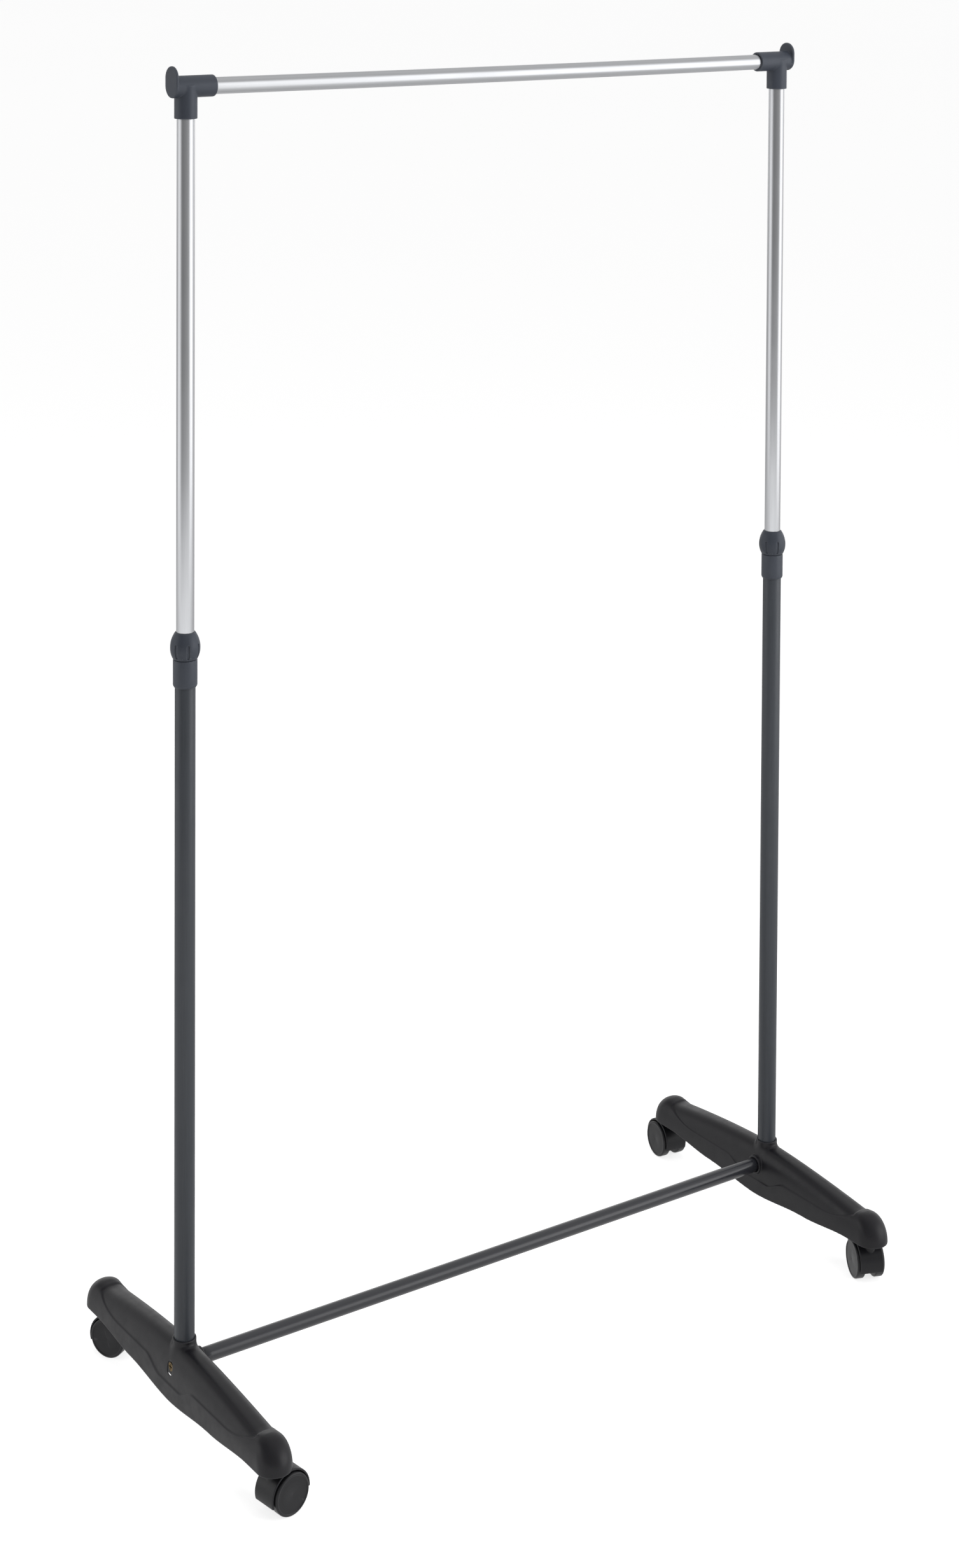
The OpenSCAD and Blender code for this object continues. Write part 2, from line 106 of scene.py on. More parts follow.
TRAIL = math.dist(JOINTS["swivel_front_left"]["pos_m"][:2], JOINTS["roll_front_left_a"]["pos_m"][:2]) / MM
WHEEL_R = node_radius("wheel_front_left_a", 2)


# ---- solid modelling on a grid of distances ----

class Grid:
    """Sample points of a box, in millimetres, for shapes given as signed distances."""

    def __init__(self, lo, hi, step):
        self.step = np.array(step if hasattr(step, "__len__") else (step,) * 3, float)
        self.lo = np.array(lo, float) - 2.5 * self.step
        counts = np.ceil((np.array(hi, float) - self.lo) / self.step).astype(int) + 3
        axes = [self.lo[k] + self.step[k] * np.arange(counts[k]) for k in range(3)]
        self.x, self.y, self.z = np.meshgrid(*axes, indexing="ij", sparse=True)

    def even(self, values):
        """Divides values by their slope, so that they read as distances near the surface."""
        slopes = np.gradient(values, *self.step)
        return values / np.maximum(np.sqrt(sum(s * s for s in slopes)), 1e-3)

    def surface(self, values):
        """Vertices and quads where values crosses zero: one vertex in each mixed cell."""
        values = values + np.zeros([max(a, 1) for a in np.broadcast(self.x, self.y, self.z).shape])
        shape = np.array(values.shape)
        cells, points, quads = [], [], []
        for axis in range(3):
            b, c = (axis + 1) % 3, (axis + 2) % 3
            tail = [slice(None)] * 3
            head = [slice(None)] * 3
            tail[axis], head[axis] = slice(None, -1), slice(1, None)
            first, second = values[tuple(tail)], values[tuple(head)]
            at = np.argwhere((first < 0) != (second < 0))
            v0, v1 = first[tuple(at.T)], second[tuple(at.T)]
            point = at.astype(float)
            point[:, axis] += v0 / (v0 - v1)
            ring = []
            for db, dc in ((0, 0), (-1, 0), (-1, -1), (0, -1)):
                cell = at.copy()
                cell[:, b] += db
                cell[:, c] += dc
                ring.append(np.ravel_multi_index(cell.T, shape))
                points.append(point)
            cells.extend(ring)
            ring = np.stack(ring, 1)
            ring[v0 > 0] = ring[v0 > 0][:, ::-1]
            quads.append(ring)
        _, where, inverse = np.unique(np.concatenate(cells), return_index=True, return_inverse=True)
        inverse = inverse.ravel()
        points = np.concatenate(points)
        count = np.bincount(inverse)
        vertices = np.stack([np.bincount(inverse, points[:, k]) / count for k in range(3)], 1)
        order = np.unique(np.concatenate(cells))
        quads = np.searchsorted(order, np.concatenate(quads))
        return vertices * self.step + self.lo, quads


def join(a, b, r):
    """Union of two shapes with a fillet of about r."""
    h = np.clip(0.5 + 0.5 * (b - a) / r, 0, 1)
    return b + (a - b) * h - r * h * (1 - h)


def common(a, b, r):
    """Intersection of two shapes with edges rounded by about r."""
    return -join(-a, -b, r)


def cut(a, b, r):
    """Shape a with b taken away, edges rounded by about r."""
    return common(a, -b, r)


def rod(u, v, r):
    """An endless round rod across the u, v plane."""
    return np.sqrt(u * u + v * v) - r


def between(w, lo, hi):
    """The slab of space between two values of w."""
    return np.maximum(lo - w, w - hi)


def ramp(t):
    """Smooth step from 0 to 1."""
    t = np.clip(t, 0, 1)
    return t * t * (3 - 2 * t)


# ---- meshes ----

def make_mesh(name, vertices, faces, material, body, stands_for=(), flat=False):
    """A piece from vertices in millimetres, riding on a CAD body."""
    mesh = bpy.data.meshes.new(name)
    faces = np.asarray(faces) if not isinstance(faces, list) else faces
    mesh.from_pydata((np.asarray(vertices) * MM).tolist(), [], [list(map(int, f)) for f in faces])
    mesh.update()
    if not flat:
        mesh.polygons.foreach_set("use_smooth", [True] * len(mesh.polygons))
    mesh.materials.append(material)
    piece = bpy.data.objects.new(name, mesh)
    bpy.context.scene.collection.objects.link(piece)
    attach(piece, body)
    if stands_for:
        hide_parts(*stands_for)
    return piece


def mirror_x(vertices, faces):
    """The mirror image across x = 0, with its faces turned the right way out again."""
    flipped = np.array(vertices) * (-1, 1, 1)
    return flipped, [tuple(reversed(tuple(f))) for f in faces]


def lathe(profile, segments, closed=True):
    """Solid of revolution about Z from (radius, height) points, outside on the right of their path."""
    profile = np.array(profile, float)
    turns = np.arange(segments) * 2 * math.pi / segments
    n = len(profile)
    vertices = np.stack([
        np.outer(np.cos(turns), profile[:, 0]).ravel(),
        np.outer(np.sin(turns), profile[:, 0]).ravel(),
        np.tile(profile[:, 1], segments)], 1)
    faces = []
    last = n if closed else n - 1
    for i in range(segments):
        j = (i + 1) % segments
        for k in range(last):
            m = (k + 1) % n
            faces.append((i * n + k, j * n + k, j * n + m, i * n + m))
    return vertices, faces


def rounded(profile, radius, steps=3):
    """A closed profile with each corner cut back by radius along an arc."""
    points = np.array(profile, float)
    out = []
    n = len(points)
    for i in range(n):
        here = points[i]
        before, after = points[i - 1] - here, points[(i + 1) % n] - here
        lengths = np.linalg.norm(before), np.linalg.norm(after)
        r = min(radius, lengths[0] * 0.4, lengths[1] * 0.4)
        start, end = here + before / lengths[0] * r, here + after / lengths[1] * r
        for k in range(steps + 1):
            t = k / steps
            out.append((1 - t) ** 2 * start + 2 * t * (1 - t) * here + t * t * end)
    return out


def placed(vertices, turn_z=0.0, move=(0, 0, 0)):
    """Vertices turned about Z, in radians, then moved."""
    c, s = math.cos(turn_z), math.sin(turn_z)
    turn = np.array([[c, -s, 0], [s, c, 0], [0, 0, 1]])
    return np.asarray(vertices) @ turn.T + np.array(move, float)


# ---- materials ----

class Shader:
    """Small helper that builds a procedural material node by node."""

    def __init__(self, name, metallic=0.0):
        self.material = bpy.data.materials.new(name)
        self.material.use_nodes = True
        self.tree = self.material.node_tree
        self.bsdf = self.tree.nodes["Principled BSDF"]
        self.bsdf.inputs["Metallic"].default_value = metallic
        self.place = self.tree.nodes.new("ShaderNodeTexCoord").outputs["Object"]

    def link(self, source, target):
        self.tree.links.new(source, target)

    def noise(self, scale, detail=3.0, stretch=(1, 1, 1), rough=0.5):
        mapping = self.tree.nodes.new("ShaderNodeMapping")
        mapping.inputs["Scale"].default_value = stretch
        self.link(self.place, mapping.inputs["Vector"])
        node = self.tree.nodes.new("ShaderNodeTexNoise")
        node.inputs["Scale"].default_value = scale
        node.inputs["Detail"].default_value = detail
        node.inputs["Roughness"].default_value = rough
        self.link(mapping.outputs["Vector"], node.inputs["Vector"])
        return node.outputs["Fac"]

    def ramp(self, source, stops):
        """Colour ramp; each stop is (position, colour or grey value)."""
        node = self.tree.nodes.new("ShaderNodeValToRGB")
        elements = node.color_ramp.elements
        while len(elements) < len(stops):
            elements.new(0.5)
        for element, (position, value) in zip(elements, stops):
            element.position = position
            element.color = (*value, 1) if hasattr(value, "__len__") else (value, value, value, 1)
        self.link(source, node.inputs["Fac"])
        return node.outputs["Color"]

    def mix(self, factor, a, b, blend="MIX"):
        node = self.tree.nodes.new("ShaderNodeMix")
        node.data_type = "RGBA"
        node.blend_type = blend
        for value, key in ((factor, 0), (a, 6), (b, 7)):
            if hasattr(value, "is_linked"):
                self.link(value, node.inputs[key])
            else:
                node.inputs[key].default_value = value if key == 0 else (*value, 1)
        return node.outputs[2]

    def edges(self, reach=0.06):
        """Bright where the surface is convex, from the pointiness of the mesh: the mask of the painted edge
        highlights.
        """
        node = self.tree.nodes.new("ShaderNodeNewGeometry")
        return self.ramp(node.outputs["Pointiness"], ((0.5, 0.0), (0.5 + reach, 1.0)))

    def bump(self, source, strength, distance):
        node = self.tree.nodes.new("ShaderNodeBump")
        node.inputs["Strength"].default_value = strength
        node.inputs["Distance"].default_value = distance
        self.link(source, node.inputs["Height"])
        self.link(node.outputs["Normal"], self.bsdf.inputs["Normal"])

    def done(self, color, roughness):
        self.link(color, self.bsdf.inputs["Base Color"])
        if hasattr(roughness, "is_linked"):
            self.link(roughness, self.bsdf.inputs["Roughness"])
        else:
            self.bsdf.inputs["Roughness"].default_value = roughness
        return self.material


def moulded_plastic(name, base, edge_highlight, roughness, grain=0.35):
    """Satin moulding: fine spark-eroded grain, slow tone drift, and convex edges made paler by a painted
    highlight.
    """
    s = Shader(name)
    drift = s.ramp(s.noise(9, 2), ((0.3, base), (0.75, tuple(c * 1.22 for c in base))))
    # convex edges turn to the paler colour: a painted highlight where edges catch the light
    color = s.mix(s.edges(), drift, edge_highlight)
    rub = s.ramp(s.noise(60, 4, rough=0.6), ((0.35, roughness - 0.05), (0.7, roughness + 0.07)))
    s.bump(s.noise(1500, 2, rough=0.6), grain, 0.00012)
    s.bsdf.inputs["Specular IOR Level"].default_value = 0.42
    return s.done(color, rub)


def painted_tube(name, base, roughness, coat=0.0, axis=(1, 1, 0.02)):
    """Paint on drawn tube: faint lengthwise draw lines and a light orange-peel."""
    s = Shader(name)
    lines = s.noise(900, 2, stretch=axis)
    color = s.mix(s.ramp(lines, ((0.35, 0.0), (0.65, 1.0))), base, tuple(c * 1.12 for c in base))
    rub = s.ramp(s.noise(35, 4), ((0.3, roughness - 0.04), (0.7, roughness + 0.06)))
    s.bump(s.noise(700, 2), 0.12, 0.0001)
    s.bsdf.inputs["Coat Weight"].default_value = coat
    s.bsdf.inputs["Coat Roughness"].default_value = 0.12
    return s.done(color, rub)


def drawn_metal(name, base, roughness, axis=(1, 1, 0.01)):
    """Satin metal with fine lines drawn along the given stretched axis."""
    s = Shader(name, metallic=1.0)
    lines = s.noise(1800, 3, stretch=axis)
    color = s.mix(s.ramp(lines, ((0.3, 0.0), (0.7, 1.0))), tuple(c * 0.93 for c in base), base)
    smear = s.ramp(s.noise(14, 3), ((0.3, roughness - 0.02), (0.7, roughness + 0.03)))
    s.bump(lines, 0.02, 0.00002)
    return s.done(color, smear)


MATERIALS = {
    # the second colour of each moulding is the painted highlight on its convex edges
    "leg_plastic": moulded_plastic("leg_plastic", (0.0095, 0.0090, 0.0115), (0.028, 0.027, 0.032), 0.38),
    "fitting_plastic": moulded_plastic("fitting_plastic", (0.045, 0.052, 0.068), (0.10, 0.11, 0.13), 0.44),
    "castor_plastic": moulded_plastic("castor_plastic", (0.010, 0.010, 0.012), (0.034, 0.034, 0.038), 0.36),
    "wheel_plastic": moulded_plastic("wheel_plastic", (0.011, 0.011, 0.013), (0.040, 0.040, 0.044), 0.33, 0.2),
    "inner_plastic": moulded_plastic("inner_plastic", (0.012, 0.012, 0.012), (0.03, 0.03, 0.03), 0.5),
    "tube_dark": painted_tube("tube_dark", (0.052, 0.058, 0.068), 0.38),
    "crossbar_paint": painted_tube("crossbar_paint", (0.026, 0.027, 0.033), 0.34, 0.7, (0.02, 1, 1)),
    "tube_silver": drawn_metal("tube_silver", (0.66, 0.67, 0.69), 0.30),
    "rail_silver": drawn_metal("rail_silver", (0.66, 0.67, 0.69), 0.30, (0.01, 1, 1)),
    "zinc": drawn_metal("zinc", (0.55, 0.55, 0.57), 0.34),
    # the screw's brass is darkened well below its own colour: painted shade of the hole it sits in
    "screw_brass": drawn_metal("screw_brass", (0.22, 0.15, 0.06), 0.34, (1, 1, 1)),
}


# ---- base legs ----

LEG_LENGTH = LEG_HI[1]
LEG_WIDTH = 22.5
RIM_Z = LEG_HI[2]
NECK_Y = 197.0
SPRING_Z = CROSSBAR_Z - 23
ROUNDNESS = 2.85


def leg_edge(a):
    """Height of the bottom edge at distance a from the hub."""
    return LEG_LO[2] + 8.5 * ramp(a / 105) + 8.5 * ramp((a - 98) / 98)


def leg_crease(a):
    """Height at which the skirt meets the sunk panel."""
    return CROSSBAR_Z - 20.5 + 13.5 * ramp((a - 24) / 38) + 14 * np.clip((a - 138) / 60, 0, 1) ** 1.9


def leg_back(a):
    """Height of the back, falling to the neck and rising a little over the end."""
    fall = 16.5 * (np.minimum(a, NECK_Y) / NECK_Y) ** 1.6
    return CROSSBAR_Z + 26.5 - fall + 3.6 * ramp((a - NECK_Y + 10) / 34)


def leg_shapes(g):
    """Outer skin of a leg and the same skin without its sunk panel, as distances."""
    a = np.abs(g.y)
    back = leg_back(a)
    rise = np.maximum(g.z - SPRING_Z, 0) / (back - SPRING_Z)
    level = np.minimum(rise, 1)
    narrowing = (1 - level ** ROUNDNESS) ** (1 / ROUNDNESS)
    lean = 36 * (1 - np.sqrt(1 - level ** 2))
    past = np.maximum(a - (LEG_LENGTH - lean - LEG_WIDTH * narrowing), 0)
    reach = np.sqrt(g.x ** 2 + past ** 2) / LEG_WIDTH
    body = g.even(((reach ** ROUNDNESS + rise ** ROUNDNESS) ** (1 / ROUNDNESS) - 1) * LEG_WIDTH)
    panel = ramp((g.z - leg_crease(a)) / 1.9 + 0.5) * (1 - ramp((a - NECK_Y + 1) / 3.5))
    return body + 1.4 * panel, body


def build_leg_mesh():
    """A whole leg round its upright's axis. The crossbar enters from the side of negative x."""
    g = Grid((-25, -LEG_LENGTH, LEG_LO[2]), (25, LEG_LENGTH, RIM_Z), (0.8, 1.1, 0.8))
    a = np.abs(g.y)
    skin, core = leg_shapes(g)
    edge = leg_edge(a)
    hub = common(rod(g.x, g.y, 14.8), g.z - RIM_Z, 1.2)
    boss = common(rod(g.y, g.z - CROSSBAR_Z, 12.6), between(g.x, -23.9, 0), 1.0)
    solid = join(join(skin, hub, 5.0), boss, 1.6)
    socket = np.maximum(np.minimum(rod(g.x, g.y, 14.6), boss), g.z - RIM_Z + 6)
    stems = np.maximum(rod(g.x, a - SWIVEL_Y, 8), g.z - STEM_TOP - 4)
    rib = np.maximum(np.maximum(np.abs(g.x) - 1.25, edge + 8 - g.z), a - SWIVEL_Y)
    keep = np.minimum(np.minimum(socket, stems), rib)
    solid = np.maximum(solid, -np.maximum(core + 2.8, -keep))
    solid = common(solid, edge - g.z, 0.8)
    solid = cut(solid, np.maximum(rod(g.x, g.y, LOWER_R + 0.15), LOWER_LO[2] - g.z), 0.6)
    solid = cut(solid, np.maximum(rod(g.y, g.z - CROSSBAR_Z, CROSSBAR_R + 0.1), g.x), 0.5)
    oval = np.sqrt(g.y ** 2 + np.maximum(np.abs(g.z - CROSSBAR_Z + 1.5) - 2.6, 0) ** 2) - 5.6
    solid = cut(solid, np.maximum(oval, 15.1 - g.x), 0.7)
    solid = cut(solid, np.maximum(rod(g.y, g.z - CROSSBAR_Z, 3.2), -g.x), 0.2)
    solid = cut(solid, np.maximum(rod(g.x, a - SWIVEL_Y, 4.1), g.z - STEM_TOP - 0.5), 0.2)
    return g.surface(solid)


def base_legs():
    vertices, faces = build_leg_mesh()
    for side, sign in (("left", -1), ("right", 1)):
        if sign < 0:
            points, quads = mirror_x(vertices, faces)
        else:
            points, quads = vertices, faces
        points = placed(points, move=(UPRIGHT_X[side], 0, 0))
        make_mesh("leg_" + side, points, quads, MATERIALS["leg_plastic"], "frame",
                  ("base_" + side,))


base_legs()


# ---- tubes ----

def tube_profile(r, wall, low, high):
    """Closed profile of a tube with softly broken edges."""
    inner = r - wall
    return rounded([(r, low), (r, high), (inner, high), (inner, low)], 0.35, 2)


def upright_tubes():
    for side in SIDES:
        for kind, wall, slot in (("lower_tube_", 1.2, "tube_dark"), ("upper_tube_", 1.0, "tube_silver")):
            node = kind + side
            lo, hi = node_box(node)
            body = "frame" if kind == "lower_tube_" else "top_frame"
            points, faces = lathe(tube_profile((hi - lo)[0] / 2, wall, lo[2], hi[2]), 96)
            make_mesh(node + "_skin", placed(points, move=(UPRIGHT_X[side], 0, 0)), faces,
                      MATERIALS[slot], body, (node,))


upright_tubes()


def cross_tube(node, wall, body, material, sag=0.0):
    """A level tube along X, bowed down by sag at its middle."""
    lo, hi = node_box(node)
    half = (hi - lo)[0] / 2
    r = (hi - lo)[2] / 2
    z = (hi + lo)[2] / 2
    rings = 49
    profile = [(r, -half), (r, half)]
    outline = []
    for k in range(rings):
        outline.append((r, -half + 2 * half * k / (rings - 1)))
    for k in range(rings):
        outline.append((r - wall, half - 2 * half * k / (rings - 1)))
    points, faces = lathe(outline, 72)
    along = points[:, 2].copy()
    level = np.stack([along, points[:, 1], z - points[:, 0] - sag * (1 - (along / half) ** 2)], 1)
    make_mesh(node + "_skin", level, faces, material, body, (node,))


cross_tube("top_rail", 1.0, "top_frame", MATERIALS["rail_silver"], 1.2)
cross_tube("crossbar", 1.0, "frame", MATERIALS["crossbar_paint"])


# ---- height clamps ----

def clamp_pieces():
    joint_z = COLLAR_LO[2]
    top_z = COLLAR_HI[2]
    # sleeve
    sleeve_r = (SLEEVE_HI - SLEEVE_LO)[0] / 2
    low = SLEEVE_LO[2]
    neck_top = SLEEVE_HI[2]
    profile = [(LOWER_R + 0.02, low), (LOWER_R + 0.9, low), (sleeve_r - 0.4, low + 1.7), (sleeve_r, low + 2.9),
               (sleeve_r, joint_z - 0.9), (sleeve_r - 0.6, joint_z - 0.25), (13.35, joint_z - 0.25),
               (13.35, neck_top), (UPPER_R + 0.35, neck_top), (UPPER_R + 0.35, LOWER_HI[2] + 1.2),
               (LOWER_R + 0.02, LOWER_HI[2] + 0.6)]
    sleeve, sleeve_faces = lathe(rounded(profile, 0.5, 3), 96)
    # collar: barrel with finger grooves, sampled on a grid
    widest = (COLLAR_HI - COLLAR_LO)[0] / 2
    g = Grid((-widest - 0.5, -widest - 0.5, joint_z), (widest + 0.5, widest + 0.5, top_z), 0.4)
    r = np.sqrt(g.x ** 2 + g.y ** 2)
    t = np.clip((g.z - joint_z) / (top_z - joint_z), 0, 1)
    belly = widest - np.where(t < 0.42, (widest - 14.8) * np.clip((0.42 - t) / 0.42, 0, 1) ** 2.2,
                              (widest - 12.3) * np.clip((t - 0.42) / 0.58, 0, 1) ** 2.1)
    barrel = g.even(r - belly)
    solid = common(barrel, between(g.z, joint_z, top_z), 1.0)
    turn = np.arctan2(g.y, g.x)
    pitch = 2 * math.pi / 7
    from_groove = (turn - math.radians(48.7) + pitch / 2) % pitch - pitch / 2
    across = np.abs(from_groove) * r
    groove = np.sqrt((across / 1.55) ** 2 + (np.maximum(np.abs(g.z - joint_z - 11.3) - 7.2, 0) / 1.6) ** 2)
    sunk = (groove - 1) * 1.3
    solid = common(solid, -np.maximum(sunk, belly - 1.15 - r), 0.5)
    solid = np.maximum(solid, UPPER_R + 0.25 - r)
    solid = np.maximum(solid, -np.maximum(r - 13.45, g.z - joint_z - 28.2))
    collar, collar_faces = g.surface(solid)
    for side in SIDES:
        move = (UPRIGHT_X[side], 0, 0)
        make_mesh("sleeve_" + side, placed(sleeve, move=move), sleeve_faces, MATERIALS["fitting_plastic"],
                  "frame", ("clamp_sleeve_" + side,))
        make_mesh("collar_skin_" + side, placed(collar, move=move), collar_faces, MATERIALS["fitting_plastic"],
                  "collar_" + side, ("twist_collar_" + side,))


clamp_pieces()


# ---- tees ----

def tee_pieces():
    inner_x = TEE_HI[0] - UPRIGHT_X["left"]
    outer_x = TEE_LO[0] - UPRIGHT_X["left"]
    bottom = TEE_LO[2] - RAIL_Z
    top = TEE_HI[2] - RAIL_Z
    g = Grid((outer_x, -15.5, bottom), (inner_x, 15.5, top), 0.5)
    leg = common(rod(g.x, g.y, 14.1), between(g.z, bottom, 2), 0.8)
    arm = common(rod(g.y, g.z, 13.5), between(g.x, outer_x + 1, inner_x), 1.6)
    paddle_r = 14.8
    span = np.clip(g.z, paddle_r - 13, top - paddle_r)
    paddle = common(rod(g.y, g.z - span, paddle_r), between(g.x, outer_x, outer_x + 3.6), 1.4)
    solid = join(join(leg, arm, 1.0), paddle, 1.2)
    solid = cut(solid, np.maximum(rod(g.y, g.z, RAIL_R + 0.1), -8.5 - g.x), 0.5)
    solid = cut(solid, np.maximum(rod(g.x, g.y, UPPER_R + 0.1), g.z + RAIL_R + 0.8), 0.5)
    vertices, faces = g.surface(solid)
    for side in SIDES:
        if side == "right":
            points, quads = mirror_x(vertices, faces)
        else:
            points, quads = vertices, faces
        make_mesh("tee_skin_" + side, placed(points, move=(UPRIGHT_X[side], 0, RAIL_Z)), quads,
                  MATERIALS["fitting_plastic"], "top_frame", ("tee_" + side,))


tee_pieces()


# ---- castors ----

def housing_mesh():
    """Castor housing with its swivel axis at the origin, trailing along +X."""
    g = Grid((TRAIL - 29, -17, 12), (TRAIL + 29, 17, SWIVEL_TOP), 0.5)
    u, w = g.x - TRAIL, g.z - WHEEL_R
    r = np.sqrt(u * u + w * w)
    # the hood runs over the wheels, from 18 degrees below the axle in front to just above it behind
    front = w * math.cos(math.radians(18)) - u * math.sin(math.radians(18))
    behind = w + u * math.tan(math.radians(2)) + 0.6
    sector = -np.where(u > 0, behind, front)
    shell = common(np.maximum(r - 28.6, 26.0 - r), np.abs(g.y) - 16.5, 1.2)
    shell = common(shell, sector, 0.8)
    web = np.maximum(np.maximum(r - 27, np.abs(g.y) - 3.5), sector)
    boss = np.maximum(rod(u, w, 6), np.abs(g.y) - 3.5)
    swivel = common(rod(g.x, g.y, 7), between(g.z, SWIVEL_TOP - 20, SWIVEL_TOP), 0.6)
    solid = join(join(shell, web, 1.0), np.minimum(boss, swivel), 0.8)
    solid = cut(solid, np.maximum(rod(g.x, g.y, 4.08), SWIVEL_TOP - 18 - g.z), 0.2)
    solid = np.maximum(solid, -rod(u, w, 3.05))
    return g.surface(solid)


def wheel_mesh():
    """Wheel a, with its axle along the lathe's Z, outer face up."""
    r = WHEEL_R
    profile = [(3.05, 7.5), (r - 1.2, 7.5), (r, 8.7), (r, 17.8), (r - 0.5, 18.8), (r - 1.6, 19.5), (r - 2.9, 19.5),
               (r - 3.7, 18.8), (r - 10, 19.0), (0.01, 19.1), (0.01, 17.4), (3.05, 17.4)]
    return lathe(rounded(profile, 0.6, 3), 96)


def castors():
    hood, hood_faces = housing_mesh()
    wheel, wheel_faces = wheel_mesh()
    for corner in CORNERS:
        swivel = np.array(JOINTS["swivel_" + corner]["pos_m"]) / MM
        axle = np.array(JOINTS["roll_" + corner + "_a"]["pos_m"]) / MM
        turn = math.atan2(axle[1] - swivel[1], axle[0] - swivel[0])
        move = (swivel[0], swivel[1], 0)
        make_mesh("hood_" + corner, placed(hood, turn, move), hood_faces, MATERIALS["castor_plastic"],
                  "castor_" + corner, ("castor_housing_" + corner,))
        for key, sign in (("a", -1), ("b", 1)):
            upright = np.stack([wheel[:, 0], sign * wheel[:, 2], wheel[:, 1]], 1)
            quads = wheel_faces if sign < 0 else [tuple(reversed(f)) for f in wheel_faces]
            points = placed(upright, turn, (axle[0], axle[1], WHEEL_R))
            name = corner + "_" + key
            make_mesh("tread_" + name, points, quads, MATERIALS["wheel_plastic"], "roller_" + name,
                      ("wheel_" + name,))


castors()


# ---- CAD nodes that are shown as they are ----

SLOTS = {part["node"]: part["material_slot"] for part in frame["record"]["subparts"]}
for name, node in frame["nodes"].items():
    if node.hide_render:
        continue
    node.data.materials.clear()
    node.data.materials.append(MATERIALS[SLOTS[name]])


# ---- stage, light and camera ----

# Directions on the floor plan: from the camera to the part, and to the right as the camera sees it
AHEAD = (math.sin(0.6025), math.cos(0.6025))
RIGHT = (math.cos(0.6025), -math.sin(0.6025))


def heading(degrees):
    """Direction on the floor plan, turned from facing the camera towards the camera's right."""
    turn = math.radians(degrees)
    return tuple(RIGHT[i] * math.sin(turn) - AHEAD[i] * math.cos(turn) for i in range(2)) + (0,)


class StageNodes:
    """Short forms for the nodes of the floor and the surroundings."""

    def __init__(self, tree):
        self.tree = tree

    def new(self, kind, **inputs):
        node = self.tree.nodes.new("ShaderNode" + kind)
        for key, value in inputs.items():
            socket = node.inputs[key]
            if hasattr(value, "is_linked"):
                self.tree.links.new(value, socket)
            else:
                socket.default_value = value
        return node

    def math(self, operation, a, b):
        node = self.tree.nodes.new("ShaderNodeMath")
        node.operation = operation
        for value, socket in ((a, node.inputs[0]), (b, node.inputs[1])):
            if hasattr(value, "is_linked"):
                self.tree.links.new(value, socket)
            else:
                socket.default_value = value
        return node.outputs[0]

    def vector(self, operation, a, b):
        node = self.tree.nodes.new("ShaderNodeVectorMath")
        node.operation = operation
        self.tree.links.new(a, node.inputs[0])
        node.inputs[1].default_value = b
        return node.outputs["Value" if operation in ("DOT_PRODUCT", "LENGTH") else "Vector"]

    def fade(self, source, low, high, at_low, at_high):
        """Smooth change from at_low to at_high while source goes from low to high."""
        node = self.tree.nodes.new("ShaderNodeMapRange")
        node.interpolation_type = "SMOOTHSTEP"
        for value, socket in zip((low, high, at_low, at_high), node.inputs[1:5]):
            socket.default_value = value
        self.tree.links.new(source, node.inputs[0])
        return node.outputs[0]


def choose(nodes, test, no, yes):
    """A value, a where test is 0 and b where it is 1."""
    picked = nodes.math("MULTIPLY", yes, test)
    rest = nodes.math("MULTIPLY", no, nodes.math("SUBTRACT", 1.0, test))
    return nodes.math("ADD", picked, rest)


def room(nodes, outward, height):
    """How bright the room is in reflections, by direction, with a window to each side of the part."""
    plan = nodes.vector("NORMALIZE", nodes.vector("MULTIPLY", outward, (1, 1, 0)), (0, 0, 0))
    walls = nodes.fade(nodes.vector("DOT_PRODUCT", plan, heading(0)), -1.0, 1.0, 0.58, 0.31)
    slope = nodes.math("MULTIPLY", nodes.vector("DOT_PRODUCT", plan, heading(90)), 0.13)
    right = nodes.fade(nodes.vector("DOT_PRODUCT", plan, heading(80)), 0.86, 0.99, 0.0, 1.35)
    left = nodes.fade(nodes.vector("DOT_PRODUCT", plan, heading(-80)), 0.84, 0.99, 0.0, 0.85)
    windows = nodes.math("MULTIPLY", nodes.math("ADD", right, left), height)
    return nodes.math("ADD", nodes.math("ADD", walls, slope), windows)


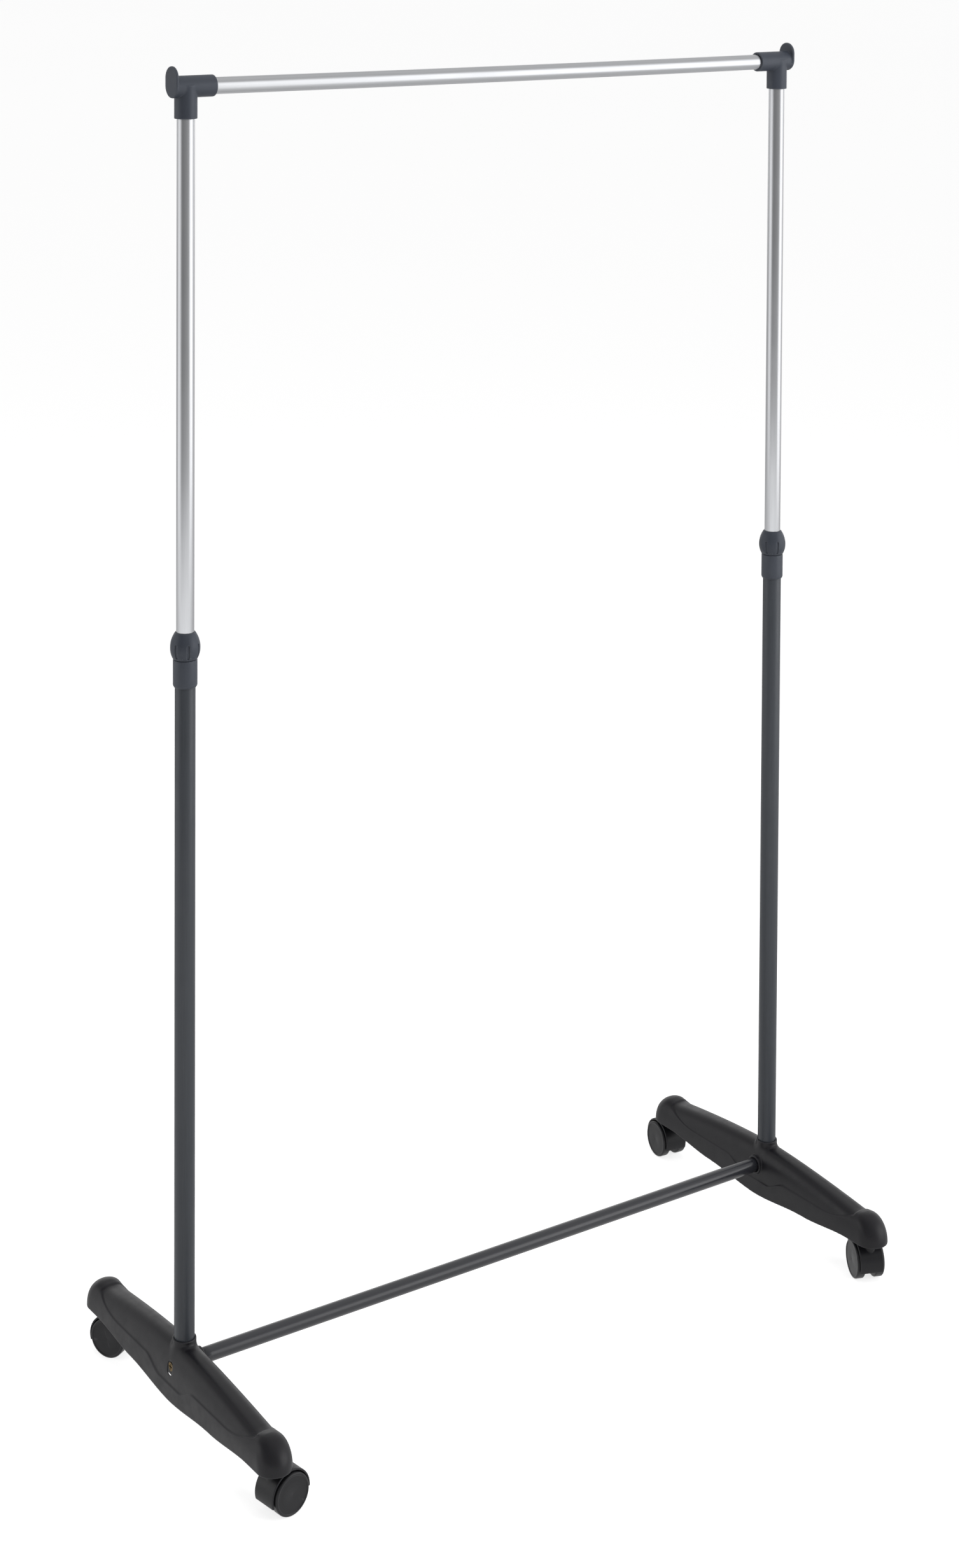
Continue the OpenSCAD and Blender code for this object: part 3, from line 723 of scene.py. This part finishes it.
def floor():
    """Pale paper. The camera sees it near white, and reflections see the room's floor."""
    mesh = bpy.data.meshes.new("floor")
    size = 40
    mesh.from_pydata([(-size, -size, 0), (size, -size, 0), (size, size, 0), (-size, size, 0)], [], [(0, 1, 2, 3)])
    material = bpy.data.materials.new("floor_paper")
    material.use_nodes = True
    tree = material.node_tree
    nodes = StageNodes(tree)
    paper = tree.nodes["Principled BSDF"]
    fibre = nodes.new("TexNoise", Scale=6.0, Detail=4.0).outputs["Fac"]
    tone = nodes.fade(fibre, 0.3, 0.7, 0.84, 0.86)
    path = nodes.new("LightPath").outputs
    place = nodes.new("NewGeometry").outputs["Position"]
    # in reflections the floor is a glow, not lit paper: a painted reflection brightness that rises towards the
    # camera and hands over to the room further out
    toward = nodes.vector("DOT_PRODUCT", place, heading(0))
    near = nodes.fade(toward, 0.0, 2.2, 0.63, 1.35)
    distance = nodes.vector("LENGTH", place, (0, 0, 0))
    far_away = nodes.fade(distance, 3.2, 4.6, 0.0, 1.0)
    mirrored = choose(nodes, far_away, near, room(nodes, place, 1.0))
    grey = nodes.new("CombineColor", Red=tone, Green=tone, Blue=tone).outputs[0]
    tree.links.new(grey, paper.inputs["Base Color"])
    paper.inputs["Roughness"].default_value = 0.95
    paper.inputs["Specular IOR Level"].default_value = 0.0
    paper.inputs["Emission Color"].default_value = (1, 1, 1, 1)
    tree.links.new(nodes.math("MULTIPLY", path["Is Camera Ray"], 0.74), paper.inputs["Emission Strength"])
    glow = tree.nodes.new("ShaderNodeEmission")
    tree.links.new(mirrored, glow.inputs["Strength"])
    mixed = tree.nodes.new("ShaderNodeMixShader")
    tree.links.new(path["Is Glossy Ray"], mixed.inputs[0])
    tree.links.new(paper.outputs[0], mixed.inputs[1])
    tree.links.new(glow.outputs[0], mixed.inputs[2])
    tree.links.new(mixed.outputs[0], tree.nodes["Material Output"].inputs["Surface"])
    mesh.materials.append(material)
    plane = bpy.data.objects.new("floor", mesh)
    bpy.context.scene.collection.objects.link(plane)


floor()


def world():
    """White backdrop for the camera, soft light for the part, and the room in its reflections."""
    surroundings = bpy.data.worlds.new("studio")
    surroundings.use_nodes = True
    bpy.context.scene.world = surroundings
    tree = surroundings.node_tree
    nodes = StageNodes(tree)
    direction = tree.nodes.new("ShaderNodeTexCoord").outputs["Generated"]
    ahead = nodes.vector("DOT_PRODUCT", direction, (*AHEAD, 0))
    up = nodes.new("SeparateXYZ", Vector=direction).outputs["Z"]
    around = nodes.fade(ahead, -0.6, 0.8, 0.30, 1.0)
    lit = nodes.math("MULTIPLY", around, nodes.fade(up, 0.10, 0.75, 1.0, 0.30))
    low_windows = nodes.fade(up, 0.35, 0.70, 1.0, 0.0)
    behind = nodes.math("MULTIPLY", nodes.fade(ahead, 0.2, 0.9, 0.0, 0.50), nodes.fade(up, 0.20, 0.50, 1.0, 0.0))
    mirrored = nodes.math("ADD", room(nodes, direction, low_windows), behind)
    path = nodes.new("LightPath").outputs
    level = choose(nodes, path["Is Glossy Ray"], lit, mirrored)
    level = choose(nodes, path["Is Camera Ray"], level, 1.1)
    grey = nodes.new("CombineColor", Red=level, Green=level, Blue=level).outputs[0]
    background = tree.nodes["Background"]
    tree.links.new(grey, background.inputs["Color"])
    background.inputs["Strength"].default_value = 1.0


world()


def panel_light(name, side, ahead, height, size, power):
    """A soft panel, placed sideways and ahead of the part as the camera sees it, facing the part."""
    place = Vector((RIGHT[0] * side + AHEAD[0] * ahead, RIGHT[1] * side + AHEAD[1] * ahead, height))
    data = bpy.data.lights.new(name, "AREA")
    data.shape = "RECTANGLE"
    data.size, data.size_y = size
    data.energy = power
    light = bpy.data.objects.new(name, data)
    light.location = place
    light.rotation_euler = (Vector((0, 0, height * 0.8)) - place).to_track_quat("-Z", "Y").to_euler()
    light.visible_camera = False
    light.visible_glossy = False
    bpy.context.scene.collection.objects.link(light)


panel_light("panel_right", 2.8, -1.1, 1.3, (1.3, 2.6), 42)
panel_light("panel_left", -2.9, -0.8, 1.3, (0.9, 2.6), 20)
panel_light("ceiling", 0.3, -0.6, 3.6, (2.6, 2.6), 34)


def camera():
    """The photo's viewpoint. Its lens is shifted, so that upright lines stay upright."""
    data = bpy.data.cameras.new("camera")
    data.sensor_width = 36
    data.lens = 4221.3 / 2464 * 36
    data.clip_end = 200
    cam = bpy.data.objects.new("camera", data)
    yaw, pitch, roll = 0.6025, 0.0378, 0.0053
    forward = Vector((math.sin(yaw) * math.cos(pitch), math.cos(yaw) * math.cos(pitch), -math.sin(pitch)))
    right = Vector((math.cos(yaw), -math.sin(yaw), 0))
    axes = Matrix((right, right.cross(forward), -forward)).transposed()
    cam.matrix_world = (Matrix.Translation((-2.0129, -2.8697, 1.9004)) @ axes.to_4x4()
                        @ Matrix.Rotation(roll, 4, "Z"))
    bpy.context.scene.collection.objects.link(cam)
    bpy.context.scene.camera = cam
    bpy.context.scene.view_settings.view_transform = "Standard"
    # the lens shift belongs to this viewpoint: from anywhere else the lens is centred
    viewpoint = bpy.data.objects.new("viewpoint", None)
    viewpoint.matrix_world = cam.matrix_world
    bpy.context.scene.collection.objects.link(viewpoint)
    curve = data.driver_add("shift_y")
    curve.driver.type = "AVERAGE"
    away = curve.driver.variables.new()
    away.type = "LOC_DIFF"
    away.targets[0].id = cam
    away.targets[1].id = viewpoint
    for modifier in list(curve.modifiers):
        curve.modifiers.remove(modifier)
    while curve.keyframe_points:
        curve.keyframe_points.remove(curve.keyframe_points[0])
    for distance, shift in ((0.02, -0.50913), (0.06, 0.0)):
        curve.keyframe_points.insert(distance, shift).interpolation = "LINEAR"


camera()
